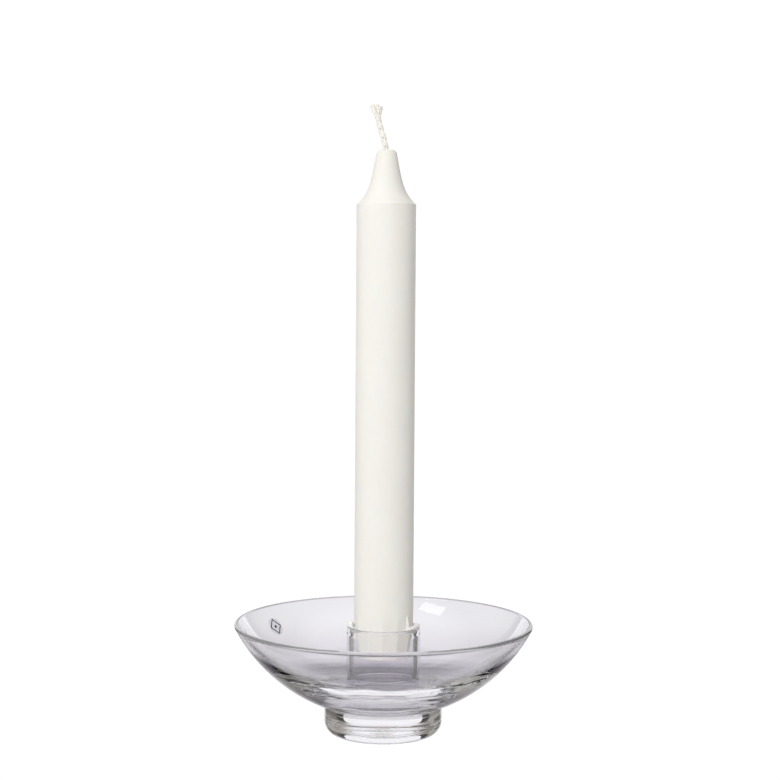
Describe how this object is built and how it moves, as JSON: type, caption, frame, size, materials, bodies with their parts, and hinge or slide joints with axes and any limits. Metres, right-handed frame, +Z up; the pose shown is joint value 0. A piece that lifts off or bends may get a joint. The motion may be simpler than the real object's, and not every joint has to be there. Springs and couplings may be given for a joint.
{
  "type": "glass candlestick",
  "caption": "Thick clear glass dish on a solid round foot, with an upright glass tube holding a white dinner candle that lifts out.",
  "frame": {"origin": "middle of the foot's underside, on the table", "axes": "+Z up along the candle; +X to the right and +Y away from someone facing it"},
  "size_m": [0.1106, 0.1106, 0.2333],
  "materials": {
    "clear_glass": "fire-polished, clear, faint lilac cast",
    "bond_resin": "clear cured adhesive",
    "label_film": "clear film with a small dark print",
    "candle_wax": "smooth satin wax",
    "wick_cotton": "braided cotton"
  },
  "bodies": {
    "holder": {"drip_bowl": "clear_glass", "foot": "clear_glass", "candle_socket": "clear_glass", "foot_bond": "bond_resin", "socket_bond": "bond_resin", "label": "label_film", "wax_crumbs": "candle_wax"},
    "candle": {"candle_body": "candle_wax", "wick": "wick_cotton", "wax_curl": "candle_wax"}
  },
  "joints": [
    {"name": "candle_lift", "type": "slide", "parent": "holder", "child": "candle", "axis": [0, 0, 1], "range_m": [0, 0.03]}
  ]
}
